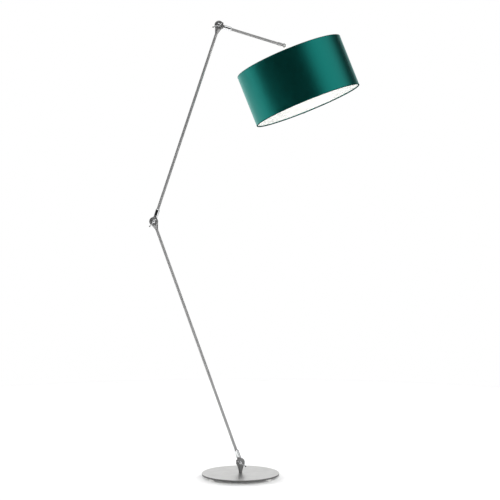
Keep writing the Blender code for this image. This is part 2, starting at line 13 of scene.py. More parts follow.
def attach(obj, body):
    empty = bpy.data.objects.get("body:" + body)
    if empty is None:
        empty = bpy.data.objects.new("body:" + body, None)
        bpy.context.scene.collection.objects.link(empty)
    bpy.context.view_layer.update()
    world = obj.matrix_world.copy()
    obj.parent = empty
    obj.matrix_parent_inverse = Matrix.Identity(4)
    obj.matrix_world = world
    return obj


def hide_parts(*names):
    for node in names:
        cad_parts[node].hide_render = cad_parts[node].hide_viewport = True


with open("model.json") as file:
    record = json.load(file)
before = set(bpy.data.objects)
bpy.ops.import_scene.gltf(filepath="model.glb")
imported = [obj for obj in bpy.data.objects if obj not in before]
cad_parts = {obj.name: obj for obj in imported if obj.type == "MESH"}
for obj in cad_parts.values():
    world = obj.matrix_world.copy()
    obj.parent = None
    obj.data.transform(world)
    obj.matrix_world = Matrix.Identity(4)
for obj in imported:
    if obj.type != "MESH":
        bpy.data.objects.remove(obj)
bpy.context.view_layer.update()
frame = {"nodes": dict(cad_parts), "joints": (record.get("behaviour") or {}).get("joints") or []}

MM = 0.001
SMOOTH, ROUND, SMALL = 96, 64, 32          # facets around a turned piece
GAP = 0.3                                  # between neighbouring pieces

# Arms
TUBE_RADIUS = 5.0
TUBE_WALL = 1.0
SOCKET_RADIUS = 5.3
WIRE_BORE = 3.5

# Base
PLATE_RADIUS = 140.0
PLATE_TOP = 13.0
PLATE_BOTTOM = 7.0
FOOT_RADIUS = 10.0
FOOT_CIRCLE = 129.0
FOOT_ANGLES = (39, 141, 219, 321)          # degrees round the plate, from its right
GLAND_RADIUS = 17.0
GLAND_BOTTOM = 0.8

# Knuckle, measured from its parting plane and along its necks
EYE_RADIUS = 16.0
EYE_FACE = 10.8
EYE_RECESS = 10.0
HALF_PARTING = 0.8                         # from the middle plane to either half's flat face
SCREW_HOLE = 3.2
NECK_RADIUS = 8.0
NECK_END_RADIUS = 6.3
NECK_START = 16.6
NECK_TAPER = 2.6
HOLLOW_INNER = 5.0
HOLLOW_OUTER = 12.0
HOLLOW_DEPTH = 5.5
CONE_RADIUS = 10.4                         # the lower half tapers from its disc to its tube
CONE_END = 27.6
LOWER_NECK_END = 29.6
BASE_CONE_END = 32.5
BASE_NECK_END = 37.9
TUBE_STOP = 20.0                           # from the joint's axis to the bottom of a tube's socket
STUB_END = 20.3
SPIGOT_END = 27.0
COLLAR_END = 47.0
BOSS_RADIUS = 5.8
BOSS_TOP = 17.2
BAR_HEIGHT = 13.9
BAR_RADIUS = 1.5
BAR_HALF_LENGTH = 16.0
BAR_SLIDE = -3.6                           # each cross bar hangs to one side in its loose hole
BALL_RADIUS = 2.6
BALL_REACH = 18.9
BAR_ANGLES = {"base": 147, "elbow": 53, "top": 22}     # of the cross bars, in degrees

# Small hinge over the shade
HINGE_RADIUS = 9.0                         # of the half on the lamp holder
HINGE_ARM_RADIUS = 6.8                     # of the half on the arm
HINGE_FACE = 6.3
HINGE_NECK_RADIUS = 6.5
HINGE_ARM_NECK_RADIUS = 6.2
HINGE_NECK_START = 9.7
HINGE_NECK_END = 23.7
HINGE_HOLE = 2.3
HINGE_TUBE_STOP = 14.0                     # where the top arm ends inside its half

# Shade, on its own axis
SHADE_TILT = 21.7                          # degrees, its right side up
SHADE_RADIUS = 200.0
RING_HEIGHT = 94.0
HINGE_ABOVE_CENTRE = 140.5
RING_RADIUS = 197.8
WIRE_RADIUS = 1.6
FABRIC_THICKNESS = 0.5
ROLL_RADIUS = 2.2                          # of the fabric's outer face, turned over a wire ring
PANEL_INSET = 0.4                          # of the flat panel behind the two rolled edges
LINING_RADIUS = 198.9
LINING_THICKNESS = 0.5
LINING_HALF_HEIGHT = 91.4
SEAM_ANGLE = 90                            # round the axis, at the back
SEAM_OVERLAP = 10.0
SPIDER_HEIGHT = 74.0
SPIDER_ANGLES = (90, 210, 330)             # degrees round the axis
FITTER_RADIUS = 24.3
HOLDER_RADIUS = 20.0
HOLDER_INSIDE = 17.5
HOLDER_TOP = 116.5
HOLDER_SPLIT = 100.0
HOLDER_BOTTOM = 56.0
BULB_CAP_TOP = 84.0
BULB_CAP_BOTTOM = 58.0
BULB_RADIUS = 30.0
BULB_CENTRE = -22.0


# ---------------------------------------------------------------- places

def axes(origin, x_axis, z_axis):
    """The placement whose X and Z axes point along the given directions."""
    turn = Matrix((x_axis, z_axis.cross(x_axis), z_axis)).transposed().to_4x4()
    return Matrix.Translation(origin) @ turn


def in_plane(degrees):
    angle = math.radians(degrees)
    return Vector((math.cos(angle), 0, math.sin(angle)))


def along(place):
    """The same origin, with Z turned onto the placement's X axis."""
    return place @ Matrix.Rotation(math.pi / 2, 4, "Y")


CENTRES = {joint["name"]: Vector(joint["pos_m"]) for joint in frame["joints"]}
BASE_JOINT = CENTRES["base_tilt"]
ELBOW = CENTRES["elbow_bend"]
TOP_JOINT = CENTRES["top_bend"]
SHADE_HINGE = CENTRES["shade_tilt"]
UP = Vector((0, 0, 1))
FRONT = Vector((0, -1, 0))
BACK = Vector((0, 1, 0))
LOWER_WAY = (ELBOW - BASE_JOINT).normalized()
MIDDLE_WAY = (TOP_JOINT - ELBOW).normalized()
TOP_WAY = (SHADE_HINGE - TOP_JOINT).normalized()
SHADE_AXIS = in_plane(90 + SHADE_TILT)
SHADE_CENTRE = SHADE_HINGE - HINGE_ABOVE_CENTRE * MM * SHADE_AXIS
SHADE = axes(SHADE_CENTRE, in_plane(SHADE_TILT), SHADE_AXIS)
FLOOR = Matrix.Identity(4)


# ---------------------------------------------------------------- materials

def new_material(name, **sockets):
    """A Principled material. Sockets are named with underscores for spaces."""
    made = bpy.data.materials.new(name)
    made.use_nodes = True
    shader = made.node_tree.nodes["Principled BSDF"]
    for socket, value in sockets.items():
        shader.inputs[socket.replace("_", " ")].default_value = value
    return made


def node(made, kind, inputs, **settings):
    """Adds a node, with its inputs set to values or linked to other nodes' outputs."""
    tree = made.node_tree
    new = tree.nodes.new("ShaderNode" + kind)
    for name, value in settings.items():
        setattr(new, name, value)
    for name, value in inputs.items():
        if isinstance(value, bpy.types.NodeSocket):
            tree.links.new(value, new.inputs[name])
        else:
            new.inputs[name].default_value = value
    return new


def to_shader(made, socket, output):
    shader = made.node_tree.nodes["Principled BSDF"]
    made.node_tree.links.new(output, shader.inputs[socket])


def grain(made, scale, detail=3.0, stretch=(1, 1, 1), coordinates="Object"):
    """Noise in the piece's own space. Scale is in cycles a metre, and stretch divides it."""
    where = node(made, "TexCoord", {}).outputs[coordinates]
    spread = tuple(scale / s for s in stretch)
    mapped = node(made, "Mapping", {"Vector": where, "Scale": spread}).outputs["Vector"]
    return node(made, "TexNoise", {"Vector": mapped, "Scale": 1.0, "Detail": detail}).outputs["Fac"]


def colour_from(made, factor, dark, light):
    ramp = node(made, "ValToRGB", {"Fac": factor})
    ramp.color_ramp.elements[0].position = 0.3
    ramp.color_ramp.elements[1].position = 0.7
    ramp.color_ramp.elements[0].color = (*dark, 1)
    ramp.color_ramp.elements[1].color = (*light, 1)
    to_shader(made, "Base Color", ramp.outputs["Color"])


def roughness_from(made, factor, low, high):
    span = node(made, "MapRange", {"Value": factor, "From Min": 0.3, "From Max": 0.7,
                                   "To Min": low, "To Max": high})
    to_shader(made, "Roughness", span.outputs["Result"])


def bump_from(made, height, depth, strength=1.0):
    """Depth is in millimetres."""
    bump = node(made, "Bump", {"Height": height, "Distance": depth * MM, "Strength": strength})
    to_shader(made, "Normal", bump.outputs["Normal"])


def chrome():
    made = new_material("polished_chrome", Metallic=1.0)
    smudge = grain(made, 90, 4)
    colour_from(made, smudge, (0.82, 0.83, 0.84), (0.88, 0.89, 0.90))
    roughness_from(made, smudge, 0.06, 0.14)
    bump_from(made, grain(made, 500, 2), 0.01, 0.3)
    return made


def satin_steel(name, stretch, dark, light, rough, metallic):
    """Nickel-plated steel with fine hairlines that run along the stretched direction."""
    made = new_material(name, Metallic=metallic)
    lines = grain(made, 5000, 2, stretch)
    colour_from(made, grain(made, 30, 4), dark, light)
    roughness_from(made, lines, *rough)
    bump_from(made, lines, 0.008, 0.4)
    return made


def zinc():
    made = new_material("zinc_plated_steel", Metallic=1.0)
    bloom = grain(made, 350, 5)
    colour_from(made, bloom, (0.48, 0.50, 0.53), (0.62, 0.63, 0.62))
    roughness_from(made, bloom, 0.30, 0.48)
    bump_from(made, grain(made, 2500), 0.02, 0.4)
    return made


def plastic(name, dark, light, low_rough, high_rough, scale=900, depth=0.02, **sockets):
    """Moulded plastic or rubber: a fine grain with a slight change of tone."""
    made = new_material(name, **sockets)
    skin = grain(made, scale)
    colour_from(made, grain(made, scale / 12), dark, light)
    roughness_from(made, skin, low_rough, high_rough)
    bump_from(made, skin, depth, 0.5)
    return made


def waves(made, coordinate, pitch):
    """A rounded ridge every pitch millimetres, from 0 to 1."""
    turns = node(made, "Math", {0: coordinate, 1: 2 * math.pi / (pitch * MM)},
                 operation="MULTIPLY").outputs[0]
    swing = node(made, "Math", {0: turns}, operation="SINE").outputs[0]
    return node(made, "Math", {0: swing, 1: 0.5, 2: 0.5}, operation="MULTIPLY_ADD").outputs[0]


def satin_fabric():
    """Dyed satin on a stiff backing: long warp floats down the shade, with a fine weft across."""
    made = new_material("teal_satin", IOR=3.0, Specular_Tint=(0.05, 1.0, 0.87, 1))
    where = node(made, "UVMap", {}).outputs["UV"]
    split = node(made, "SeparateXYZ", {"Vector": where})
    warp = waves(made, split.outputs["X"], 0.30)
    weft = waves(made, split.outputs["Y"], 0.42)
    weave = node(made, "Math", {0: warp, 1: weft}, operation="MULTIPLY").outputs[0]
    slub = grain(made, 2400, 2, (1, 60, 1), "UV")
    cloud = grain(made, 14, 3)
    tone = node(made, "Mix", {"Factor": 0.6, "A": cloud, "B": slub}, data_type="FLOAT")
    colour_from(made, tone.outputs["Result"], (0.0001, 0.0016, 0.0014), (0.0002, 0.0034, 0.0030))
    roughness_from(made, slub, 0.30, 0.36)
    height = node(made, "Mix", {"Factor": 0.5, "A": weave, "B": slub}, data_type="FLOAT")
    bump_from(made, height.outputs["Result"], 0.03, 0.5)
    return made


def lining():
    made = new_material("white_lining")
    skin = grain(made, 700, 3)
    colour_from(made, grain(made, 25), (0.86, 0.86, 0.84), (0.92, 0.92, 0.90))
    roughness_from(made, skin, 0.55, 0.75)
    bump_from(made, skin, 0.03, 0.4)
    return made


def frosted_glass():
    made = new_material("frosted_glass", IOR=1.45, Transmission_Weight=0.55)
    skin = grain(made, 1500, 2)
    colour_from(made, grain(made, 40), (0.90, 0.90, 0.88), (0.97, 0.97, 0.95))
    roughness_from(made, skin, 0.30, 0.45)
    bump_from(made, skin, 0.01, 0.3)
    return made


PLATE_DARK, PLATE_LIGHT = (0.63, 0.63, 0.62), (0.70, 0.70, 0.69)
TUBE_DARK, TUBE_LIGHT = (0.33, 0.33, 0.33), (0.38, 0.38, 0.38)
FACE_DARK, FACE_LIGHT = (0.24, 0.24, 0.24), (0.29, 0.29, 0.29)
LOOKS = {
    "chrome": chrome(),
    "satin_steel": satin_steel("satin_steel_tube", (1, 1, 120), TUBE_DARK, TUBE_LIGHT,
                               (0.46, 0.56), 0.7),
    "satin_plate": satin_steel("satin_steel_plate", (120, 1, 1), PLATE_DARK, PLATE_LIGHT,
                               (0.32, 0.46), 1.0),
    # Painted shade: a dark copy of the plate's steel for the plate's side wall, where it sits in
    # shade over the floor.
    "painted_shade_plate_edge": satin_steel("satin_steel_painted_shade_edge", (1, 1, 1), (0.15, 0.15, 0.15),
                              (0.20, 0.20, 0.20), (0.40, 0.55), 1.0),
    "satin_face": satin_steel("satin_nickel_face", (1, 1, 1), FACE_DARK, FACE_LIGHT,
                              (0.34, 0.44), 0.8),
    # Painted shade: a darker copy of the chrome for the lower halves, whose necks show darker
    # reflections than the upper halves.
    "painted_shade_neck": satin_steel("satin_nickel_painted_shade_neck", (1, 1, 1), (0.30, 0.30, 0.30),
                              (0.38, 0.38, 0.38), (0.18, 0.28), 1.0),
    "zinc_steel": zinc(),
    "clear_rubber": plastic("clear_rubber", (0.62, 0.62, 0.60), (0.74, 0.74, 0.72), 0.30, 0.45),
    "black_plastic": plastic("black_plastic", (0.004, 0.004, 0.004), (0.010, 0.010, 0.010),
                             0.36, 0.52),
    "white_plastic": plastic("white_washer", (0.72, 0.72, 0.70), (0.80, 0.80, 0.78), 0.40, 0.55),
    "white_sheath": plastic("white_sheath", (0.64, 0.64, 0.62), (0.74, 0.74, 0.72), 0.45, 0.60),
    "holder_plastic": plastic("white_holder", (0.78, 0.78, 0.76), (0.84, 0.84, 0.82),
                              0.18, 0.30, 400),
    "white_ceramic": plastic("white_ceramic", (0.80, 0.79, 0.76), (0.88, 0.87, 0.84), 0.35, 0.6),
    "bulb_metal": plastic("bulb_cap_metal", (0.66, 0.67, 0.68), (0.78, 0.79, 0.80), 0.16, 0.30,
                          600, 0.01, Metallic=1.0),
    "white_enamel": plastic("white_enamel", (0.80, 0.80, 0.78), (0.86, 0.86, 0.84), 0.16, 0.28,
                            300, 0.03, Coat_Weight=0.3),
    "green_fabric": satin_fabric(),
    # Painted shade: a matte copy of the teal satin without its sheen, which renders as a dark line
    # along the rolled rims.
    "painted_shade_roll": plastic("teal_painted_shade_roll", (0.001, 0.022, 0.018), (0.002, 0.040, 0.034), 0.6, 0.8,
                          2600, 0.03, Specular_IOR_Level=0.0),
    "white_lining": lining(),
    "frosted_glass": frosted_glass(),
}


# ---------------------------------------------------------------- meshes

def filleted(outline, closed, steps=4):
    """Points of an outline whose corners, given as (x, y, radius), are rounded with arcs."""
    points = []
    count = len(outline)
    for i, (x, y, radius) in enumerate(outline):
        corner = Vector((x, y))
        if radius == 0 or (not closed and i in (0, count - 1)):
            points.append(corner)
            continue
        back = (Vector(outline[i - 1][:2]) - corner).normalized()
        on = (Vector(outline[(i + 1) % count][:2]) - corner).normalized()
        half = back.angle(on) / 2
        centre = corner + (back + on).normalized() * radius / math.sin(half)
        start = corner + back * radius / math.tan(half) - centre
        end = corner + on * radius / math.tan(half) - centre
        sweep = -start.angle_signed(end)
        for k in range(steps + 1):
            points.append(centre + Matrix.Rotation(sweep * k / steps, 2) @ start)
    return points


def divided(points, longest):
    """The same open outline with its long sides cut into steps, for pieces that are reshaped."""
    fine = [Vector(points[0][:2])]
    for point in points[1:]:
        end = Vector(point[:2])
        start = fine[-1].copy()
        count = max(1, math.ceil((end - start).length / longest))
        fine += [start.lerp(end, k / count) for k in range(1, count + 1)]
    return fine


def mesh_object(name, vertices, faces, place):
    mesh = bpy.data.meshes.new(name)
    mesh.from_pydata([Vector(v) * MM for v in vertices], [], faces)
    edit = bmesh.new()
    edit.from_mesh(mesh)
    bmesh.ops.recalc_face_normals(edit, faces=edit.faces)
    edit.to_mesh(mesh)
    edit.free()
    made = bpy.data.objects.new(name, mesh)
    made.matrix_world = place
    bpy.context.scene.collection.objects.link(made)
    return made


def revolved(name, points, place, steps=SMOOTH, shape=None):
    """A solid of revolution about Z from (radius, height) points.

    Points that start and end on the axis are an open outline; any others are closed into a ring.
    shape(radius, angle, height) gives each point's own radius, for threads and ribs.
    """
    rings, vertices, faces = [], [], []
    for radius, height in points:
        if radius < 1e-6:
            rings.append([len(vertices)] * steps)
            vertices.append((0, 0, height))
            continue
        rings.append(range(len(vertices), len(vertices) + steps))
        for k in range(steps):
            angle = 2 * math.pi * k / steps
            out = shape(radius, angle, height) if shape else radius
            vertices.append((out * math.cos(angle), out * math.sin(angle), height))
    closed = points[0][0] > 1e-6 or points[-1][0] > 1e-6
    for i in range(len(rings) - (0 if closed else 1)):
        a, b = rings[i], rings[(i + 1) % len(rings)]
        for k in range(steps):
            n = (k + 1) % steps
            corners = dict.fromkeys((a[k], a[n], b[n], b[k]))
            faces.append(tuple(corners))
    return mesh_object(name, vertices, faces, place)


def turned(name, outline, place, steps=SMOOTH, shape=None, longest=None):
    """A revolved piece from (radius, height, fillet) corners."""
    closed = outline[0][0] > 0 or outline[-1][0] > 0
    points = filleted(outline, closed)
    if longest:
        points = divided(points + (points[:1] if closed else []), longest)
        points = points[:-1] if closed else points
    return revolved(name, points, place, steps, shape)


def block(name, low, high, place, bevel=0.0):
    """A cut or joined block between two corners, with rounded edges."""
    edit = bmesh.new()
    bmesh.ops.create_cube(edit, size=1)
    low, high = Vector(low), Vector(high)
    for vertex in edit.verts:
        vertex.co = (low + high) / 2 + Vector(a * b for a, b in zip(vertex.co, high - low))
    if bevel:
        bmesh.ops.bevel(edit, geom=edit.edges, offset=bevel, segments=3, affect="EDGES")
    vertices = [v.co.copy() for v in edit.verts]
    faces = [[v.index for v in f.verts] for f in edit.faces]
    edit.free()
    return mesh_object(name, vertices, faces, place)


def settle(made):
    """Applies the piece's modifiers to its mesh."""
    bpy.context.view_layer.update()
    graph = bpy.context.evaluated_depsgraph_get()
    mesh = bpy.data.meshes.new_from_object(made.evaluated_get(graph))
    made.modifiers.clear()
    made.data = mesh
    return made


def combine(made, operation, *tools):
    """Joins or cuts a piece with others, which are used up."""
    for tool in tools:
        change = made.modifiers.new(operation, "BOOLEAN")
        change.operation = operation
        change.solver = "EXACT"
        change.object = tool
        settle(made)
        bpy.data.objects.remove(tool, do_unlink=True)
    return made


def keep(made, body, look, *nodes, slot=None, sharp=35, second=None, settled=True):
    """Gives a finished piece its material and its body, in place of its CAD nodes.

    second is a material and a test that picks its faces. A settled piece has its place in its mesh.
    """
    mesh = made.data
    mesh.shade_smooth()
    mesh.set_sharp_from_angle(angle=math.radians(sharp))
    mesh.materials.clear()
    mesh.materials.append(LOOKS[look])
    if second:
        mesh.materials.append(LOOKS[second[0]])
        for polygon in mesh.polygons:
            polygon.material_index = int(second[1](polygon))
    if settled:
        mesh.transform(made.matrix_world)
        made.matrix_world = Matrix.Identity(4)
    normals = made.modifiers.new("Normals", "WEIGHTED_NORMAL")
    normals.keep_sharp = True
    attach(made, body)
    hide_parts(*(nodes or [made.name.removesuffix("_piece")]))
    return made


# ---------------------------------------------------------------- base

def on_the_shaded_side(polygon):
    """The plate's edge wall, without its rounded corners, which gets the painted shade."""
    return abs(polygon.normal.z) < 0.2


def base_plate():
    """The round plate, hollow where the stud goes through."""
    outline = [
        (SOCKET_RADIUS, PLATE_TOP, 0.3),
        (PLATE_RADIUS, PLATE_TOP, 0.6),
        (PLATE_RADIUS, PLATE_BOTTOM, 0.5),
        (SOCKET_RADIUS, PLATE_BOTTOM, 0.3),
    ]
    plate = turned("base_plate_piece", outline, FLOOR, 256)
    # The side wall is painted darker than the top, as painted shade.
    keep(plate, "base", "satin_plate", slot="satin_steel", second=("painted_shade_plate_edge", on_the_shaded_side))


def base_feet():
    """Four clear feet with a hollow underneath, a hair below the plate."""
    top = PLATE_BOTTOM - GAP
    outline = [(0, top, 0), (FOOT_RADIUS, top, 0.3), (FOOT_RADIUS, 4.6, 0.2),
               (FOOT_RADIUS - 0.6, 4.2, 0.2), (FOOT_RADIUS - 0.6, 0, 2.2),
               (4.2, 0, 0.6), (3.4, 0.8, 0.3), (0, 0.8, 0)]
    for number, angle in enumerate(FOOT_ANGLES, 1):
        spot = Matrix.Rotation(math.radians(angle), 4, "Z") @ Vector((FOOT_CIRCLE * MM, 0, 0))
        foot = turned(f"base_foot_{number}_piece", outline, Matrix.Translation(spot), ROUND)
        keep(foot, "base", "clear_rubber")


def thread(pitch, depth, low, high):
    """Radius change of a rounded helical thread between two heights."""
    def shape(radius, angle, height):
        if not low < height < high:
            return radius
        fade = min(1.0, (height - low) / pitch, (high - height) / pitch)
        turn = height / pitch - angle / (2 * math.pi)
        return radius - depth * fade * (0.5 - 0.5 * math.cos(2 * math.pi * turn))
    return shape


def base_stud():
    """The hollow threaded stud between the plate and the base knuckle."""
    top = BASE_JOINT.z / MM - TUBE_STOP - GAP
    end = 2.1
    outline = [(WIRE_BORE, top, 0.2), (TUBE_RADIUS, top, 0.4),
               (TUBE_RADIUS, end, 0.4), (WIRE_BORE, end, 0.2)]
    coarse = thread(1.0, 0.45, end, top)

    def outside_only(radius, angle, height):
        return coarse(radius, angle, height) if radius > TUBE_RADIUS - 0.1 else radius

    stud = turned("base_stud_piece", outline, FLOOR, 48, outside_only, 0.125)
    keep(stud, "base", "zinc_steel", sharp=60)


def base_washer():
    outside = 9.0
    top = PLATE_BOTTOM - GAP
    end = top - 1
    outline = [(SOCKET_RADIUS, top, 0.1), (outside, top, 0.2), (outside, end, 0.2),
               (SOCKET_RADIUS, end, 0.1)]
    keep(turned("base_washer_piece", outline, FLOOR, ROUND), "base", "zinc_steel")


def base_nut():
    """A hexagon nut with its corners turned down and a plain hole."""
    across_flats = 14.0
    slope = 0.75
    face_radius = 7.1
    top = PLATE_BOTTOM - GAP - 1.3
    end = top - 2.7
    corner = across_flats / math.sqrt(3)
    nut = revolved("base_nut_piece", [(0, top), (corner, top), (corner, end), (0, end)], FLOOR, 6)
    round_stock = revolved("nut_stock", [
        (0, top), (face_radius, top), (corner + 0.1, top - slope),
        (corner + 0.1, end + slope), (face_radius, end), (0, end)], FLOOR, ROUND)
    hole = revolved("nut_hole", [(0, top + 1), (SOCKET_RADIUS, top + 1),
                                 (SOCKET_RADIUS, end - 1), (0, end - 1)], FLOOR, SMALL)
    combine(nut, "INTERSECT", round_stock)
    combine(nut, "DIFFERENCE", hole)
    keep(nut, "base", "zinc_steel", sharp=12)


def cord_gland():
    """The cup under the nut, with a slot in its wall where a lead leaves."""
    top = PLATE_BOTTOM - GAP
    inside = 12.0
    bottom = GLAND_BOTTOM + 1
    outline = [(0, bottom, 0), (inside, bottom, 0.5), (inside, top, 0.3), (GLAND_RADIUS, top, 0.4),
               (GLAND_RADIUS, GLAND_BOTTOM, 1.2), (0, GLAND_BOTTOM, 0)]
    gland = turned("cord_gland_piece", outline, FLOOR, SMOOTH)
    slot = block("gland_slot", (-3.5, inside - 2, bottom + 0.5), (3.5, GLAND_RADIUS + 2, top + 1),
                 FLOOR)
    combine(gland, "DIFFERENCE", slot)
    keep(gland, "base", "black_plastic")


# ---------------------------------------------------------------- knuckle joints

def disc(name, place):
    """One side of a knuckle before it is hollowed: a disc with a raised rim and a fine groove."""
    return turned(name, [
        (SCREW_HOLE, EYE_RECESS, 0.15),
        (7.4, EYE_RECESS, 0.15),
        (7.8, EYE_RECESS - 0.4, 0.12),
        (8.6, EYE_RECESS - 0.4, 0.12),
        (9.0, EYE_RECESS, 0.15),
        (11.8, EYE_RECESS, 0.35),
        (12.6, EYE_FACE, 0.25),
        (EYE_RADIUS, EYE_FACE, 1.3),
        (EYE_RADIUS, HALF_PARTING, 0.35),
        (SCREW_HOLE, HALF_PARTING, 0.15),
    ], place)


def hollow(eye, place, bore_end):
    """Cuts the lead's way: a ring in the parting face, open to the bore of the neck."""
    ring = turned("hollow", [(HOLLOW_INNER, HOLLOW_DEPTH, 0.6), (HOLLOW_OUTER, HOLLOW_DEPTH, 0.6),
                             (HOLLOW_OUTER, -1, 0), (HOLLOW_INNER, -1, 0)], place)
    bore = revolved("bore", [(0, bore_end), (WIRE_BORE, bore_end), (WIRE_BORE, 8), (0, 8)],
                    along(place), SMALL)
    combine(eye, "DIFFERENCE", ring, bore)


def shoulder(place):
    """The lower half's smooth change from its flat disc to its round cone."""
    edit = bmesh.new()
    for degrees in range(-72, 73, 6):
        across, up = math.cos(math.radians(degrees)), math.sin(math.radians(degrees))
        for radius, height in ((EYE_RADIUS - 0.1, HALF_PARTING), (EYE_RADIUS - 0.1, 9.5),
                               (EYE_RADIUS - 0.4, 10.1), (EYE_RADIUS - 1.1, 10.4)):
            edit.verts.new((radius * across, radius * up, height))
    for k in range(32):
        angle = 2 * math.pi * k / 32
        reach = CONE_RADIUS - 0.05
        edit.verts.new((NECK_START + 0.1, reach * math.cos(angle), reach * math.sin(angle)))
    found = bmesh.ops.convex_hull(edit, input=edit.verts)
    inside = [item for item in found["geom_interior"] if isinstance(item, bmesh.types.BMVert)]
    bmesh.ops.delete(edit, geom=inside, context="VERTS")
    edit.verts.index_update()
    vertices = [v.co.copy() for v in edit.verts]
    faces = [[v.index for v in f.verts] for f in edit.faces]
    edit.free()
    made = mesh_object("shoulder", vertices, faces, place)
    room = revolved("room", [(0, HALF_PARTING), (EYE_RADIUS + 0.3, HALF_PARTING),
                             (EYE_RADIUS + 0.3, -14), (0, -14)], place)
    return combine(made, "DIFFERENCE", room)


def on_the_face(polygon):
    """The flat faces that look along a knuckle's axis."""
    return abs(polygon.normal.z) > 0.85


def lower_eye(joint, body, place, cone_end, neck_end):
    """The front half, with a tapering neck that takes the tube or stud below it. Its chrome is
    drawn with a darker copy, as painted shade.
    """
    eye = disc(f"{joint}_lower_eye_piece", place)
    neck = turned("neck", [
        (NECK_END_RADIUS, neck_end, 0.4),
        (NECK_END_RADIUS, cone_end, 0.4),
        (CONE_RADIUS, NECK_START, 0),
        (WIRE_BORE, NECK_START, 0),
        (WIRE_BORE, TUBE_STOP, 0),
        (SOCKET_RADIUS, TUBE_STOP, 0),
        (SOCKET_RADIUS, neck_end, 0.2),
    ], along(place), ROUND)
    combine(eye, "UNION", shoulder(place), neck)
    hollow(eye, place, TUBE_STOP - 1)
    keep(eye, body, "painted_shade_neck", slot="chrome", second=("satin_face", on_the_face))


def upper_eye(joint, body, place):
    """The rear half, with a short stub and a spigot that the collar and tube slide over."""
    eye = disc(f"{joint}_upper_eye_piece", place)
    bridge = block("bridge", (HOLLOW_OUTER + 0.6, -7.6, HALF_PARTING + 0.1),
                   (NECK_START + 1.2, 7.6, 7.6), place, 0.8)
    neck = turned("neck", [
        (WIRE_BORE, SPIGOT_END, 0.2),
        (TUBE_RADIUS, SPIGOT_END, 0.3),
        (TUBE_RADIUS, STUB_END, 0),
        (NECK_RADIUS, STUB_END, 0.3),
        (NECK_RADIUS, NECK_START, 0.5),
        (WIRE_BORE, NECK_START, 0),
    ], along(place), ROUND)
    combine(eye, "UNION", bridge, neck)
    hollow(eye, place, STUB_END)
    keep(eye, body, "chrome", second=("satin_face", on_the_face))


def collar(joint, body, place):
    """The sleeve over the rear half's spigot and the end of its tube."""
    start = STUB_END + GAP
    outline = [
        (SOCKET_RADIUS, COLLAR_END, 0.2),
        (NECK_END_RADIUS, COLLAR_END, 0.4),
        (NECK_RADIUS, COLLAR_END - NECK_TAPER, 1.0),
        (NECK_RADIUS, start, 0.3),
        (SOCKET_RADIUS, start, 0.2),
    ]
    keep(turned(f"{joint}_collar_piece", outline, along(place), ROUND), body, "chrome")


def friction_washer(joint, body, place):
    half = HALF_PARTING - GAP
    outline = [(12.3, half, 0.1), (15.7, half, 0.2), (15.7, -half, 0.2), (12.3, -half, 0.1)]
    keep(turned(f"{joint}_friction_washer_piece", outline, place), body, "white_plastic")


def clamp_screw(joint, place):
    """The screw with its domed boss, and the cross bar that hangs in a hole through the boss."""
    body = f"{joint}_clamp"
    under = EYE_RECESS + GAP
    shaft = SCREW_HOLE - GAP
    dome = [math.pi / 2 * k / 8 for k in range(9)]
    points = [(BOSS_RADIUS * math.sin(t), BOSS_TOP - 2.6 * (1 - math.cos(t))) for t in dome]
    points += [(BOSS_RADIUS, 11.6), (BOSS_RADIUS - 0.4, 11.4), (BOSS_RADIUS - 0.4, 11.0),
               (BOSS_RADIUS, 10.8), (BOSS_RADIUS, under), (shaft, under), (shaft, -13.5),
               (shaft - 0.5, -14), (0, -14)]
    screw = revolved(f"{joint}_clamp_screw_piece", points, place, ROUND)
    hole_place = along(place @ Matrix.Translation((0, 0, BAR_HEIGHT * MM)))
    hole = revolved("bar_hole", [(0, 8), (BAR_RADIUS + 0.15, 8), (BAR_RADIUS + 0.15, -8), (0, -8)],
                    hole_place, SMALL)
    combine(screw, "DIFFERENCE", hole)
    keep(screw, body, "chrome")
    bar_place = hole_place @ Matrix.Translation((0, 0, BAR_SLIDE * MM))
    tommy_bar(joint, body, bar_place)
    far = Matrix.Translation((0, 0, BALL_REACH * MM))
    for number, side in enumerate((0, math.pi), 1):
        ball_place = bar_place @ Matrix.Rotation(side, 4, "Y") @ far
        keep(ball(f"{joint}_tommy_ball_{number}_piece", ball_place), body, "black_plastic")


def tommy_bar(joint, body, place):
    """A bar whose thin ends go into its balls."""
    tip = BALL_REACH - 0.9
    bar = turned(f"{joint}_tommy_bar_piece", [
        (0, tip, 0), (1, tip, 0.2), (1, BAR_HALF_LENGTH, 0), (BAR_RADIUS, BAR_HALF_LENGTH, 0.3),
        (BAR_RADIUS, -BAR_HALF_LENGTH, 0.3), (1, -BAR_HALF_LENGTH, 0), (1, -tip, 0.2),
        (0, -tip, 0)], place, SMALL)
    keep(bar, body, "chrome")


def ball(name, place):
    """A ball with a drilled flat where the bar's thin end goes in."""
    flat = math.radians(-62)
    arc = [math.pi / 2 + (flat - math.pi / 2) * k / 14 for k in range(15)]
    points = [(max(0.0, BALL_RADIUS * math.cos(a)), BALL_RADIUS * math.sin(a)) for a in arc]
    points[0] = (0.0, BALL_RADIUS)
    face = BALL_RADIUS * math.sin(flat)
    points += [(0.93, face - 0.08), (0.93, -0.8), (0.0, -0.8)]
    return revolved(name, points, place, SMALL)


def cap_nut(name, body, hole, radius, face, height, place):
    """A domed nut with a shallow groove above its seat."""
    top = face + height
    dome = [math.pi / 2 * k / 8 for k in range(9)]
    points = [(radius * math.sin(t), top - 0.5 * height * (1 - math.cos(t))) for t in dome]
    groove = face + 0.22 * height
    points += [(radius, groove + 0.3), (radius - 0.3, groove), (radius, groove - 0.3),
               (radius, face + 0.15), (radius - 0.15, face), (hole, face),
               (hole, face + 0.65 * height), (0, face + 0.65 * height)]
    keep(revolved(name, points, place, ROUND), body, "chrome")


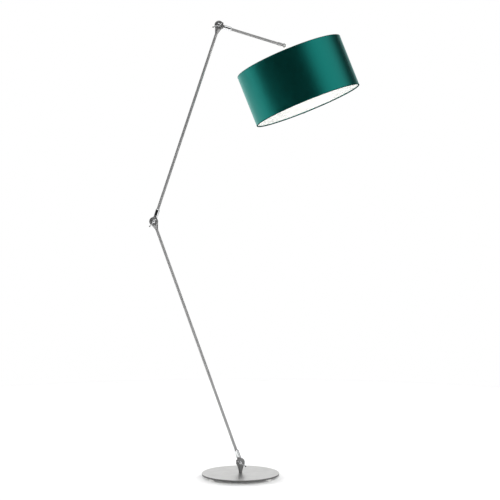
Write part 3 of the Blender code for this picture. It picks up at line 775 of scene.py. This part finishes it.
def knuckle(joint, centre, bodies, lower_direction, upper_direction, cone_end=CONE_END,
            neck_end=LOWER_NECK_END):
    """One whole joint. bodies are the ones below and above it, and the directions its necks'."""
    lower_body, upper_body = bodies
    front = axes(centre, lower_direction, FRONT)
    rear = axes(centre, upper_direction, BACK)
    lower_eye(joint, lower_body, front, cone_end, neck_end)
    upper_eye(joint, upper_body, rear)
    collar(joint, upper_body, rear)
    friction_washer(joint, upper_body, rear)
    clamp_screw(joint, axes(centre, in_plane(BAR_ANGLES[joint]), FRONT))
    cap_nut(f"{joint}_cap_nut_piece", upper_body, SCREW_HOLE, 6.5, EYE_RECESS + GAP, 6.4, rear)


def arm_tube(body, start, end, start_gap, end_gap):
    """The tube between two joints, which starts and stops the given lengths short of them."""
    way = (end - start).normalized()
    place = axes(start, BACK, way)
    low = start_gap
    high = (end - start).length / MM - end_gap
    inner = TUBE_RADIUS - TUBE_WALL
    outline = [(inner, high, 0.15), (TUBE_RADIUS, high, 0.3), (TUBE_RADIUS, low, 0.3),
               (inner, low, 0.15)]
    tube = turned(f"{body}_tube_piece", outline, place, ROUND)
    keep(tube, body, "satin_steel", settled=False)


def lead(body):
    """The CAD lead inside a tube keeps its shape and gets its sheath's material."""
    cad = frame["nodes"][f"{body}_lead"]
    cad.data.materials.clear()
    cad.data.materials.append(LOOKS["white_sheath"])


# ---------------------------------------------------------------- shade hinge

def hinge_half(name, body, radius, place, neck_outline, look):
    """A small half eye with a neck."""
    eye = turned(name, [
        (HINGE_HOLE, HINGE_FACE, 0.15),
        (radius, HINGE_FACE, 0.9),
        (radius, HALF_PARTING, 0.25),
        (HINGE_HOLE, HALF_PARTING, 0.15),
    ], place)
    bridge = block("bridge", (4.5, -4.8, HALF_PARTING + 0.1), (HINGE_NECK_START + 0.8, 4.8, 5.5),
                   place, 0.6)
    combine(eye, "UNION", bridge, turned("neck", neck_outline, along(place), ROUND))
    keep(eye, body, look)


def shade_hinge():
    """Both halves, with the slotted screw in front and its nut behind."""
    arm_side = axes(SHADE_HINGE, -TOP_WAY, FRONT)
    holder_side = axes(SHADE_HINGE, -SHADE_AXIS, BACK)
    bore = 2.5
    tube_socket = [(0, HINGE_TUBE_STOP, 0), (SOCKET_RADIUS, HINGE_TUBE_STOP, 0),
                   (SOCKET_RADIUS, HINGE_NECK_END, 0.1),
                   (HINGE_ARM_NECK_RADIUS, HINGE_NECK_END, 0.6),
                   (HINGE_ARM_NECK_RADIUS, HINGE_NECK_START, 0.5), (0, HINGE_NECK_START, 0)]
    holder_spigot = [(bore, 33.5, 0.2), (TUBE_RADIUS, 33.5, 0.4),
                     (TUBE_RADIUS, HINGE_NECK_END, 0), (HINGE_NECK_RADIUS, HINGE_NECK_END, 0.4),
                     (HINGE_NECK_RADIUS, HINGE_NECK_START, 0.5), (bore, HINGE_NECK_START, 0)]
    hinge_half("shade_hinge_arm_half_piece", "top_arm", HINGE_ARM_RADIUS, arm_side, tube_socket,
               "satin_steel")
    hinge_half("shade_hinge_holder_half_piece", "shade", HINGE_RADIUS, holder_side, holder_spigot,
               "white_enamel")
    hinge_screw(arm_side)
    cap_nut("shade_hinge_nut_piece", "top_arm", HINGE_HOLE, 4.5, HINGE_FACE + GAP, 3.4, holder_side)


def hinge_screw(place):
    head = HINGE_FACE + GAP
    head_radius = 4.0
    shaft = HINGE_HOLE - GAP
    dome = [math.radians(a) for a in range(0, 91, 15)]
    points = [(head_radius * math.sin(t), head + 0.9 + 1.3 * math.cos(t)) for t in dome]
    points += [(head_radius, head), (shaft, head), (shaft, -8.0), (shaft - 0.2, -8.2), (0, -8.2)]
    screw = revolved("shade_hinge_screw_piece", points, place, ROUND)
    slot = block("screw_slot", (-5, -0.5, head + 1.1), (5, 0.5, head + 4), place)
    combine(screw, "DIFFERENCE", slot)
    keep(screw, "top_arm", "chrome")


# ---------------------------------------------------------------- lamp holder and bulb

def ribs(count, depth, low, high, outer):
    """Radius change of grip ribs on the outer wall between two heights."""
    def shape(radius, angle, height):
        if radius < outer - 0.05 or not low < height < high:
            return radius
        return radius - depth * (0.5 - 0.5 * math.cos(count * angle)) ** 0.6
    return shape


def holder_cap():
    top = HOLDER_TOP
    cap = turned("holder_cap_piece", [
        (SOCKET_RADIUS, top, 0.2), (9, top, 0.6), (14, top - 2.5, 2), (18.5, top - 8, 3),
        (HOLDER_RADIUS, HOLDER_SPLIT, 0.3), (HOLDER_INSIDE, HOLDER_SPLIT, 0.2),
        (15.5, top - 8.5, 2), (10, top - 5, 0.5), (SOCKET_RADIUS, top - 4, 0.2),
    ], SHADE)
    keep(cap, "shade", "holder_plastic")


def holder_body():
    """The holder's threaded skirt, with a flange that rests on the fitter ring."""
    flange = SPIDER_HEIGHT + 1.3
    flange_radius = 22.5
    top = HOLDER_SPLIT - GAP
    skirt = thread(3.0, 0.7, HOLDER_BOTTOM + 0.6, flange - 0.4)

    def outer_thread(radius, angle, height):
        return skirt(radius, angle, height) if radius > HOLDER_RADIUS - 0.2 else radius

    body = turned("holder_body_piece", [
        (HOLDER_INSIDE, top, 0.2), (HOLDER_RADIUS, top, 0.3),
        (HOLDER_RADIUS, flange + 2.5, 0.3), (flange_radius, flange + 2.5, 0.4),
        (flange_radius, flange, 0.3), (HOLDER_RADIUS, flange, 0.2),
        (HOLDER_RADIUS, HOLDER_BOTTOM, 0.5), (HOLDER_INSIDE, HOLDER_BOTTOM, 0.3),
    ], SHADE, SMOOTH, outer_thread, 0.5)
    keep(body, "shade", "holder_plastic", sharp=50)


def holder_ring_nut():
    """The ribbed ring that clamps the fitter ring from below."""
    top = SPIDER_HEIGHT - 1.3
    end = top - 9
    rim = 24.0
    grip = 22.8
    bore = HOLDER_RADIUS + GAP
    nut = turned("holder_ring_nut_piece", [
        (bore, top, 0.2), (rim, top, 0.4), (rim, top - 2, 0.3),
        (grip, top - 2.6, 0.2), (grip, end, 0.5), (bore, end, 0.2),
    ], SHADE, 288, ribs(36, 0.6, end + 0.8, top - 3.2, grip), 0.6)
    keep(nut, "shade", "holder_plastic", sharp=50)


def holder_insert():
    """The ceramic contact block over the bulb's cap."""
    top, step = 98.0, 88.0
    end = BULB_CAP_TOP + 3
    outer = HOLDER_INSIDE - GAP
    insert = turned("holder_insert_piece", [
        (0, top, 0), (outer, top, 0.4), (outer, step, 0.6), (6, step, 0.4),
        (5, end, 0.3), (0, end, 0),
    ], SHADE, ROUND)
    keep(insert, "shade", "white_ceramic")


def bulb_cap():
    """The screw cap, with its coarse rounded thread."""
    top, end = BULB_CAP_TOP, BULB_CAP_BOTTOM
    skirt = thread(3.6, 1.1, end + 1.5, top - 3)

    def outer_thread(radius, angle, height):
        return skirt(radius, angle, height) if radius > 12.5 else radius

    cap = turned("bulb_cap_piece", [
        (0, top + 2, 0), (4.5, top + 2, 0.4), (6, top, 0.3), (10, top - 2.5, 0.5),
        (13, top - 4, 0.8), (13, end, 0.2), (12, end, 0.1), (12, top - 5, 0.3), (0, top - 3, 0),
    ], SHADE, ROUND, outer_thread, 0.45)
    keep(cap, "shade", "bulb_metal", sharp=50)


def bulb_glass():
    """A globe that runs into its neck on a smooth curve, with a thin wall."""
    top = BULB_CAP_BOTTOM - GAP
    join = math.radians(52)
    meeting = (BULB_RADIUS * math.cos(join), BULB_CENTRE + BULB_RADIUS * math.sin(join))
    neck = [Vector((12.5, top)), Vector((12.9, 36)), Vector((13.6, 18)), Vector(meeting)]
    outer = bezier(*neck, 18)
    steps = [join - (join + math.pi / 2) * k / 22 for k in range(1, 22)]
    outer += [Vector((BULB_RADIUS * math.cos(a), BULB_CENTRE + BULB_RADIUS * math.sin(a)))
              for a in steps]
    wall = 1.0
    inner = []
    for i, point in enumerate(outer):
        way = outer[min(i + 1, len(outer) - 1)] - outer[max(i - 1, 0)]
        inward = Vector((way.y, -way.x)).normalized()
        inner.append(point + wall * inward)
    inner[0].y = top
    bottom = BULB_CENTRE - BULB_RADIUS
    points = [Vector((0, bottom + wall))] + inner[::-1] + outer + [Vector((0, bottom))]
    keep(revolved("bulb_glass_piece", points, SHADE), "shade", "frosted_glass")


def bezier(a, b, c, d, steps):
    """Points of a cubic curve from a to d, pulled towards b and c."""
    found = []
    for k in range(steps + 1):
        t = k / steps
        s = 1 - t
        found.append(a * s ** 3 + 3 * b * s * s * t + 3 * c * s * t * t + d * t ** 3)
    return found


# ---------------------------------------------------------------- shade

def strip(name, profile, start, thickness, rise, place, steps=288):
    """A sheet wound once round the axis, whose end is lifted over its start along a seam.

    profile is (radius, height) points of the sheet's outer face. Its UV map is in metres.
    """
    profile = [Vector(p) for p in profile]
    normals, lengths = [], [0.0]
    for i, point in enumerate(profile):
        way = profile[min(i + 1, len(profile) - 1)] - profile[max(i - 1, 0)]
        normals.append(Vector((-way.y, way.x)).normalized())
        if i:
            lengths.append(lengths[-1] + (point - profile[i - 1]).length)
    outer = max(p.x for p in profile)
    extra = SEAM_OVERLAP / outer
    columns = [2 * math.pi * k / steps for k in range(steps)]
    columns += [2 * math.pi + extra * k / 6 for k in range(7)]
    climb = 3.0 / outer
    vertices, faces, uvs = [], [], []
    for angle in columns:
        over = (angle - (2 * math.pi - climb)) / climb
        lift = rise * min(1.0, max(0.0, over))
        turn = Matrix.Rotation(start + angle, 3, "Z")
        for point, normal, length in zip(profile, normals, lengths):
            spot = point + normal * lift
            vertices.append(turn @ Vector((spot.x, 0, spot.y)))
            uvs.append((angle * outer * MM, length * MM))
    rows = len(profile)
    for c in range(len(columns) - 1):
        for r in range(rows - 1):
            a = c * rows + r
            faces.append((a, a + 1, a + rows + 1, a + rows))
    mesh = bpy.data.meshes.new(name)
    mesh.from_pydata([v * MM for v in vertices], [], faces)
    layer = mesh.uv_layers.new(name="cloth")
    for loop in mesh.loops:
        layer.data[loop.index].uv = uvs[loop.vertex_index]
    made = bpy.data.objects.new(name, mesh)
    made.matrix_world = place
    bpy.context.scene.collection.objects.link(made)
    thick = made.modifiers.new("Thickness", "SOLIDIFY")
    thick.thickness = thickness * MM
    thick.offset = -1
    thick.use_even_offset = True
    settle(made)
    return made, lengths[-1], (2 * math.pi + extra) * outer


def rolled_edge(sign, degrees, steps):
    """The fabric's outer face round a wire ring, from the panel side to its tucked end."""
    arc = [math.radians(degrees) * k / steps for k in range(steps + 1)]
    return [(RING_RADIUS + ROLL_RADIUS * math.cos(a),
             sign * (RING_HEIGHT + ROLL_RADIUS * math.sin(a))) for a in arc]


def on_a_shaded_roll(polygon):
    """The fabric turned over either wire ring, which gets the painted shade."""
    return abs(polygon.center.z) > (RING_HEIGHT - 1) * MM


def shade_fabric():
    panel = SHADE_RADIUS - PANEL_INSET
    bottom = rolled_edge(-1, 235, 16)
    top = rolled_edge(1, 235, 16)
    run = RING_HEIGHT - 3.0
    side = [(panel, run - 2 * run * k / 24) for k in range(25)]
    profile = top[::-1] + side + bottom
    start = math.radians(SEAM_ANGLE)
    made, width, length = strip("shade_fabric_piece", profile, start, FABRIC_THICKNESS,
                                FABRIC_THICKNESS + 0.08, SHADE)
    # The rolled edges get the matte copy, as painted shade along the rims.
    keep(made, "shade", "green_fabric", "shade_fabric", sharp=40, second=("painted_shade_roll", on_a_shaded_roll))
    return made, width, length


def shade_lining():
    high = LINING_HALF_HEIGHT
    profile = [(LINING_RADIUS, high - 2 * high * k / 12) for k in range(13)]
    start = math.radians(SEAM_ANGLE + 20)
    made, width, length = strip("shade_lining_piece", profile, start, LINING_THICKNESS,
                                -LINING_THICKNESS - 0.08, SHADE)
    keep(made, "shade", "white_lining", "shade_lining", sharp=40)
    return made, width, length


def wire_ring(name, height):
    """A ring of round wire inside a rolled edge."""
    arc = [2 * math.pi * k / 16 for k in range(16)]
    points = [(RING_RADIUS + WIRE_RADIUS * math.cos(a), height - WIRE_RADIUS * math.sin(a))
              for a in arc]
    return keep(revolved(name + "_piece", points, SHADE, 256), "shade", "white_enamel")


def spider_arm(number, angle):
    """A wire that runs out level from the fitter ring and bends up to the top ring."""
    start = FITTER_RADIUS - 0.4
    end = RING_RADIUS - WIRE_RADIUS + 0.5
    rise = RING_HEIGHT - SPIDER_HEIGHT
    bend = 40.0
    path = [(start + (end - bend - start) * k / 8, SPIDER_HEIGHT) for k in range(8)]
    for k in range(25):
        t = k / 24
        path.append((end - bend * (1 - t), SPIDER_HEIGHT + rise * (3 * t * t - 2 * t ** 3)))
    sides = 20
    vertices, faces = [], []
    for i, (out, height) in enumerate(path):
        before, after = path[max(i - 1, 0)], path[min(i + 1, len(path) - 1)]
        way = Vector((after[0] - before[0], 0, after[1] - before[1])).normalized()
        across = Vector((-way.z, 0, way.x))
        for k in range(sides):
            a = 2 * math.pi * k / sides
            side = across * math.cos(a) + Vector((0, 1, 0)) * math.sin(a)
            vertices.append(Vector((out, 0, height)) + side * WIRE_RADIUS)
    for i in range(len(path) - 1):
        for k in range(sides):
            n = (k + 1) % sides
            a, b = i * sides, (i + 1) * sides
            faces.append((a + k, a + n, b + n, b + k))
    faces.append(tuple(range(sides)))
    faces.append(tuple(range((len(path) - 1) * sides, len(path) * sides)))
    place = SHADE @ Matrix.Rotation(math.radians(angle), 4, "Z")
    keep(mesh_object(f"spider_arm_{number}_piece", vertices, faces, place), "shade",
         "white_enamel")


def shade():
    """The wire frame, with the fabric and its lining stretched over the two rings."""
    wires = [wire_ring("shade_top_ring", RING_HEIGHT), wire_ring("shade_bottom_ring", -RING_HEIGHT)]
    cloth, width, length = shade_fabric()
    inside, width, length = shade_lining()
    bore = HOLDER_RADIUS + GAP
    fitter = turned("fitter_ring_piece", [
        (bore, SPIDER_HEIGHT + 1, 0.3), (FITTER_RADIUS, SPIDER_HEIGHT + 1, 0.5),
        (FITTER_RADIUS, SPIDER_HEIGHT - 1, 0.5), (bore, SPIDER_HEIGHT - 1, 0.3)], SHADE)
    keep(fitter, "shade", "white_enamel")
    for number, angle in enumerate(SPIDER_ANGLES, 1):
        spider_arm(number, angle)


# ---------------------------------------------------------------- studio

def camera():
    """A level camera in front of the lamp, at half its height."""
    data = bpy.data.cameras.new("camera")
    data.sensor_width = 36.0
    data.lens = 81.97
    made = bpy.data.objects.new("camera", data)
    made.location = (0.0345, -4.1294, 0.8208)
    made.rotation_euler = (math.radians(90), 0, 0)
    bpy.context.scene.collection.objects.link(made)
    bpy.context.scene.camera = made


def towards(azimuth, elevation):
    """A direction from the lamp: azimuth 0 is the front, 90 the right of the front view."""
    a, e = math.radians(azimuth), math.radians(elevation)
    return (math.sin(a) * math.cos(e), -math.cos(a) * math.cos(e), math.sin(e))


# Soft panels that the lamp reflects: azimuth, elevation, half widths of the bright and faded
# parts in degrees, and brightness
PANELS = [
    (67, 24, 6, 50, 0.80),
    (-125, -6, 12, 56, 0.88),
    (180, 12, 14, 42, 1.0),
    (-12, 62, 10, 34, 1.5),
    (180, 64, 10, 40, 0.3),
]
AMBIENT = 0.015
# Soft lights that the lamp doesn't reflect: azimuth, elevation and spread in degrees, and
# strength
FILLS = [
    (125, 14, 24, 1.4),
    (152, 14, 24, 1.6),
    (180, 14, 24, 1.6),
    (208, 14, 24, 1.6),
    (235, 14, 24, 1.4),
    (-8, 4, 40, 2.8),
]


def surroundings():
    """A world that is white to the camera and dark with soft panels to the lamp."""
    world = bpy.data.worlds.new("studio")
    bpy.context.scene.world = world
    world.use_nodes = True
    background = world.node_tree.nodes["Background"]
    way = node(world, "TexCoord", {}).outputs["Generated"]
    total = None
    for azimuth, elevation, bright, faded, strength in PANELS:
        facing = node(world, "VectorMath", {0: way, 1: towards(azimuth, elevation)},
                      operation="DOT_PRODUCT").outputs["Value"]
        panel = node(world, "MapRange", {
            "Value": facing, "From Min": math.cos(math.radians(faded)),
            "From Max": math.cos(math.radians(bright)), "To Min": 0.0, "To Max": strength,
        }, interpolation_type="SMOOTHSTEP").outputs["Result"]
        total = node(world, "Math", {0: panel, 1: AMBIENT if total is None else total},
                     operation="ADD").outputs[0]
    seen = node(world, "LightPath", {}).outputs["Is Camera Ray"]
    level = node(world, "Mix", {"Factor": seen, "A": total, "B": 1.0}, data_type="FLOAT")
    world.node_tree.links.new(level.outputs["Result"], background.inputs["Strength"])
    background.inputs["Color"].default_value = (1, 1, 1, 1)


def studio_floor():
    look = new_material("pale_floor", Specular_IOR_Level=0.0)
    colour_from(look, grain(look, 3), (0.93, 0.93, 0.93), (0.95, 0.95, 0.95))
    roughness_from(look, grain(look, 200), 0.8, 0.9)
    edge = 3000.0
    floor = revolved("floor", [(0, 0), (edge, 0), (edge, -10), (0, -10)], FLOOR, SMOOTH)
    floor.data.materials.append(look)


def fill_lights():
    for number, (azimuth, elevation, spread, strength) in enumerate(FILLS, 1):
        data = bpy.data.lights.new(f"fill_{number}", "SUN")
        data.energy = strength
        data.angle = math.radians(spread)
        fill = bpy.data.objects.new(f"fill_{number}", data)
        fill.rotation_euler = Vector(towards(azimuth, elevation)).to_track_quat("Z", "Y").to_euler()
        fill.visible_glossy = False
        bpy.context.scene.collection.objects.link(fill)


def bulb_glow():
    """A faint light inside the bulb, which lifts the lining."""
    data = bpy.data.lights.new("bulb_glow", "POINT")
    data.energy = 0.2
    data.shadow_soft_size = BULB_RADIUS * MM
    data.use_shadow = False
    glow = bpy.data.objects.new("bulb_glow", data)
    glow.location = SHADE @ Vector((0, 0, BULB_CENTRE * MM))
    bpy.context.scene.collection.objects.link(glow)
    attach(glow, "shade")


# ---------------------------------------------------------------- build

base_plate()
base_feet()
base_stud()
base_washer()
base_nut()
cord_gland()
knuckle("base", BASE_JOINT, ("base", "lower_arm"), -UP, LOWER_WAY, BASE_CONE_END,
        BASE_NECK_END)
knuckle("elbow", ELBOW, ("lower_arm", "middle_arm"), -LOWER_WAY, MIDDLE_WAY)
knuckle("top", TOP_JOINT, ("middle_arm", "top_arm"), -MIDDLE_WAY, TOP_WAY)
arm_tube("lower_arm", BASE_JOINT, ELBOW, SPIGOT_END + GAP, TUBE_STOP + GAP)
arm_tube("middle_arm", ELBOW, TOP_JOINT, SPIGOT_END + GAP, TUBE_STOP + GAP)
arm_tube("top_arm", TOP_JOINT, SHADE_HINGE, SPIGOT_END + GAP, HINGE_TUBE_STOP + GAP)
for arm in ("lower_arm", "middle_arm", "top_arm"):
    lead(arm)
shade_hinge()
holder_cap()
holder_body()
holder_ring_nut()
holder_insert()
bulb_cap()
bulb_glass()
shade()
camera()
surroundings()
studio_floor()
fill_lights()
bulb_glow()
bpy.context.scene.view_settings.view_transform = "Standard"
